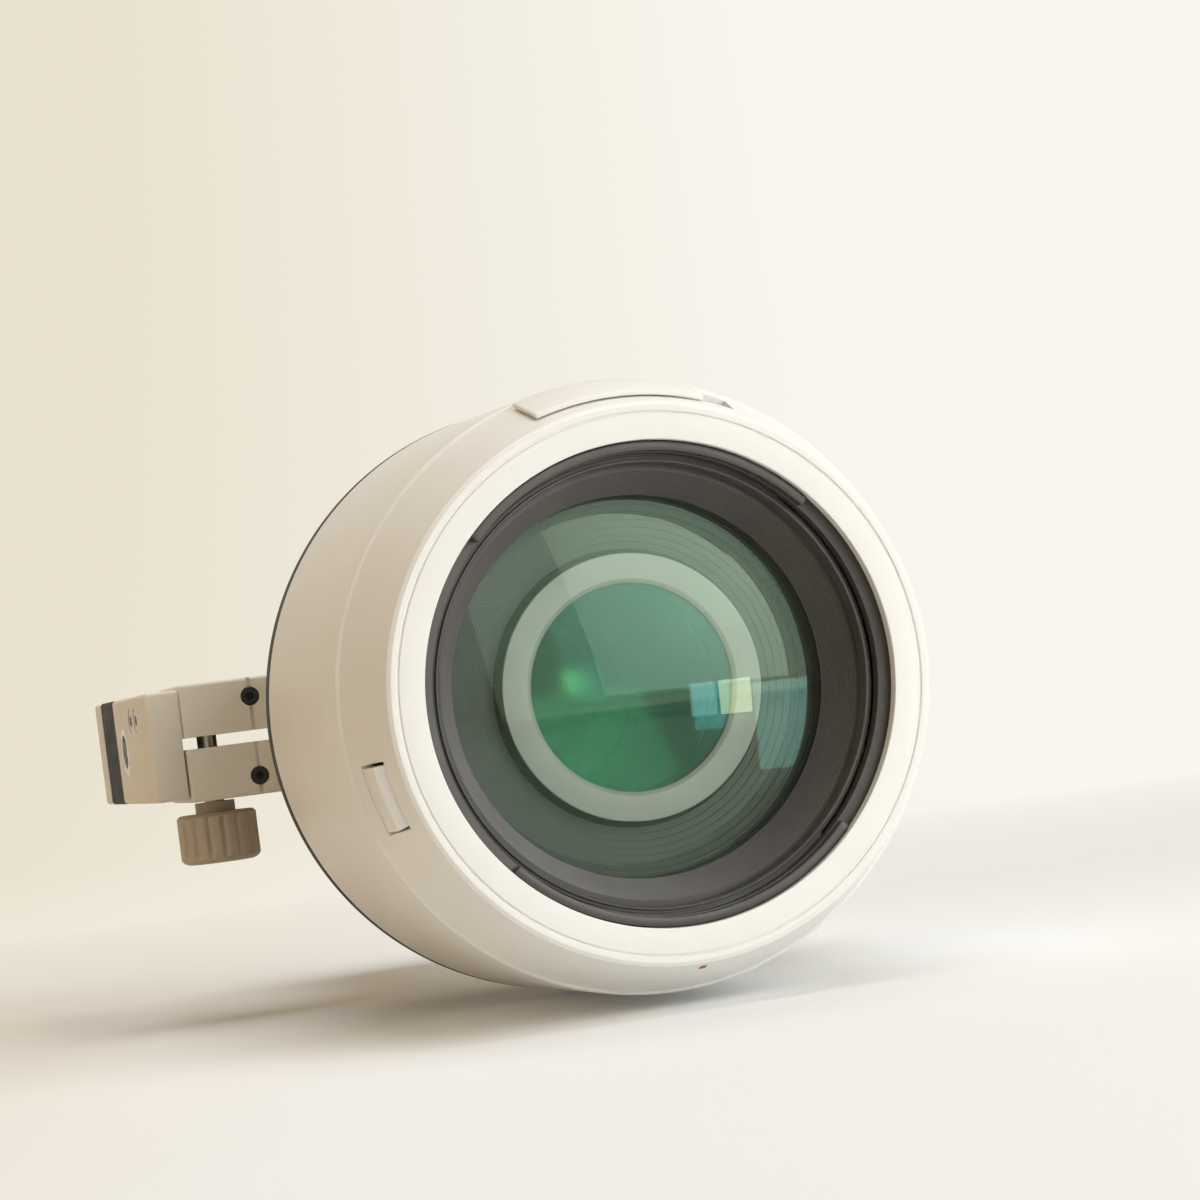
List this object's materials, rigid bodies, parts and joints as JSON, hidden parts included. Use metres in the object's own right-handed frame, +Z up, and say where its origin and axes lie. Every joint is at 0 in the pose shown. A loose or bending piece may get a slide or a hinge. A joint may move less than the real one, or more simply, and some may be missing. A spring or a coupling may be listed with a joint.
{
  "type": "camera zoom lens",
  "caption": "White telephoto zoom lens with its hood stowed in reverse, zoom and focus rings, and a turning tripod collar with a clamped side foot.",
  "frame": {"origin": "centre of the camera flange's face", "axes": "+Y along the optical axis towards the camera, +Z up, +X to the right seen from the front"},
  "size_m": [0.128, 0.2106, 0.1116],
  "materials": {
    "hood_plastic": "satin",
    "white_paint": "satin",
    "black_plastic": "satin",
    "black_metal": "matte",
    "flocking": "matte",
    "rubber": "matte",
    "grey_metal": "satin",
    "grey_plastic": "satin",
    "steel": "brushed",
    "chrome": "polished",
    "gold": "polished",
    "board": "gloss",
    "coated_glass": "coated"
  },
  "bodies": {
    "hood": {"hood_shell": "hood_plastic", "hood_bayonet_ring": "black_plastic", "hood_lining": "flocking", "hood_rim": "rubber"},
    "window_cover": {"hood_window_cover": "hood_plastic"},
    "release_button": {"hood_release_button": "hood_plastic"},
    "lens": {"front_ring": "black_plastic", "name_ring": "black_plastic", "front_lens": "coated_glass", "front_baffle": "black_metal", "front_barrel": "white_paint", "guide_tube": "grey_metal", "middle_barrel": "white_paint", "rear_barrel": "white_paint", "switch_panel": "grey_plastic", "iris_housing": "black_metal", "rear_cell": "black_metal", "rear_lens": "coated_glass", "main_board": "board", "rear_baffle": "black_metal", "mount_plate": "chrome", "mount_gasket": "rubber", "mount_screws": "steel", "contact_block": "black_plastic", "contact_pins": "gold"},
    "zoom": {"zoom_ring": "white_paint", "zoom_grip": "rubber", "cam_tube": "grey_metal"},
    "front_zoom_group": {"zoom_cell": "black_metal", "zoom_lens": "coated_glass", "zoom_retainer": "grey_metal"},
    "rear_zoom_group": {"rear_zoom_cell": "black_metal", "rear_zoom_lens": "coated_glass"},
    "focus": {"focus_ring": "white_paint", "focus_grip": "rubber"},
    "focus_group": {"focus_cell": "black_metal", "focus_lens": "coated_glass"},
    "iris": {"iris_ring": "grey_metal"},
    "mode_switch": {"focus_mode_switch": "black_plastic"},
    "limit_switch": {"focus_limit_switch": "black_plastic"},
    "lock": {"lock_switch": "black_plastic"},
    "hold_button": {"focus_hold_button": "grey_plastic"},
    "collar": {"collar_ring": "white_paint", "collar_liner": "flocking", "collar_screws": "black_metal", "foot_plate": "white_paint", "foot_pad": "rubber", "foot_screws": "steel", "tripod_bush": "steel"},
    "knob": {"clamp_knob": "grey_plastic", "clamp_screw": "steel"},
    "blade_1": {"iris_blade_1": "black_metal"},
    "blade_2": {"iris_blade_2": "black_metal"},
    "blade_3": {"iris_blade_3": "black_metal"},
    "blade_4": {"iris_blade_4": "black_metal"},
    "blade_5": {"iris_blade_5": "black_metal"},
    "blade_6": {"iris_blade_6": "black_metal"}
  },
  "joints": [
    {"name": "hood_turn", "type": "hinge", "parent": "lens", "child": "hood", "pos_m": [0, 0, 0], "axis": [0, -1, 0], "range_deg": [0, 90]},
    {"name": "window_slide", "type": "hinge", "parent": "hood", "child": "window_cover", "pos_m": [0, 0, 0], "axis": [0, -1, 0], "range_deg": [-7, 28]},
    {"name": "release_press", "type": "slide", "parent": "hood", "child": "release_button", "axis": [0.9646, 0, 0.2639], "range_m": [0, 0.0006], "stiffness_N_per_m": 800},
    {"name": "zoom_turn", "type": "hinge", "parent": "lens", "child": "zoom", "pos_m": [0, 0, 0], "axis": [0, -1, 0], "range_deg": [0, 70]},
    {"name": "front_zoom_slide", "type": "slide", "parent": "lens", "child": "front_zoom_group", "axis": [0, 1, 0], "range_m": [0, 0.022]},
    {"name": "rear_zoom_slide", "type": "slide", "parent": "lens", "child": "rear_zoom_group", "axis": [0, 1, 0], "range_m": [0, 0.006]},
    {"name": "focus_turn", "type": "hinge", "parent": "lens", "child": "focus", "pos_m": [0, 0, 0], "axis": [0, -1, 0], "range_deg": [0, 120]},
    {"name": "focus_slide", "type": "slide", "parent": "lens", "child": "focus_group", "axis": [0, 1, 0], "range_m": [0, 0.006]},
    {"name": "iris_turn", "type": "hinge", "parent": "lens", "child": "iris", "pos_m": [0, 0, 0], "axis": [0, -1, 0], "range_deg": [0, 40]},
    {"name": "mode_slide", "type": "slide", "parent": "lens", "child": "mode_switch", "axis": [0, 0, -1], "range_m": [0, 0.003]},
    {"name": "limit_slide", "type": "slide", "parent": "lens", "child": "limit_switch", "axis": [0, 0, -1], "range_m": [0, 0.003]},
    {"name": "lock_slide", "type": "slide", "parent": "lens", "child": "lock", "axis": [0, 0, -1], "range_m": [0, 0.003]},
    {"name": "hold_press", "type": "slide", "parent": "lens", "child": "hold_button", "axis": [-1, 0, 0], "range_m": [0, 0.0008], "stiffness_N_per_m": 800},
    {"name": "collar_turn", "type": "hinge", "parent": "lens", "child": "collar", "pos_m": [0, 0, 0], "axis": [0, -1, 0], "continuous": true},
    {"name": "knob_turn", "type": "hinge", "parent": "collar", "child": "knob", "pos_m": [-0.0592, -0.075, 0], "axis": [0, 0, -1], "range_deg": [0, 360]},
    {"name": "blade_1_swing", "type": "hinge", "parent": "lens", "child": "blade_1", "pos_m": [0.0245, -0.0867, 0], "axis": [0, -1, 0], "range_deg": [0, 28.5]},
    {"name": "blade_2_swing", "type": "hinge", "parent": "lens", "child": "blade_2", "pos_m": [0.01225, -0.0867, 0.02122], "axis": [0, -1, 0], "range_deg": [0, 28.5]},
    {"name": "blade_3_swing", "type": "hinge", "parent": "lens", "child": "blade_3", "pos_m": [-0.01225, -0.0867, 0.02122], "axis": [0, -1, 0], "range_deg": [0, 28.5]},
    {"name": "blade_4_swing", "type": "hinge", "parent": "lens", "child": "blade_4", "pos_m": [-0.0245, -0.0867, 0], "axis": [0, -1, 0], "range_deg": [0, 28.5]},
    {"name": "blade_5_swing", "type": "hinge", "parent": "lens", "child": "blade_5", "pos_m": [-0.01225, -0.0867, -0.02122], "axis": [0, -1, 0], "range_deg": [0, 28.5]},
    {"name": "blade_6_swing", "type": "hinge", "parent": "lens", "child": "blade_6", "pos_m": [0.01225, -0.0867, -0.02122], "axis": [0, -1, 0], "range_deg": [0, 28.5]}
  ],
  "couplings": [
    {"joint": "front_zoom_slide", "follows": "zoom_turn", "m_per_rad": 0.018},
    {"joint": "rear_zoom_slide", "follows": "zoom_turn", "m_per_rad": 0.0049},
    {"joint": "focus_slide", "follows": "focus_turn", "m_per_rad": 0.00286},
    {"joint": "blade_1_swing", "follows": "iris_turn", "ratio": 0.7},
    {"joint": "blade_2_swing", "follows": "iris_turn", "ratio": 0.7},
    {"joint": "blade_3_swing", "follows": "iris_turn", "ratio": 0.7},
    {"joint": "blade_4_swing", "follows": "iris_turn", "ratio": 0.7},
    {"joint": "blade_5_swing", "follows": "iris_turn", "ratio": 0.7},
    {"joint": "blade_6_swing", "follows": "iris_turn", "ratio": 0.7}
  ]
}
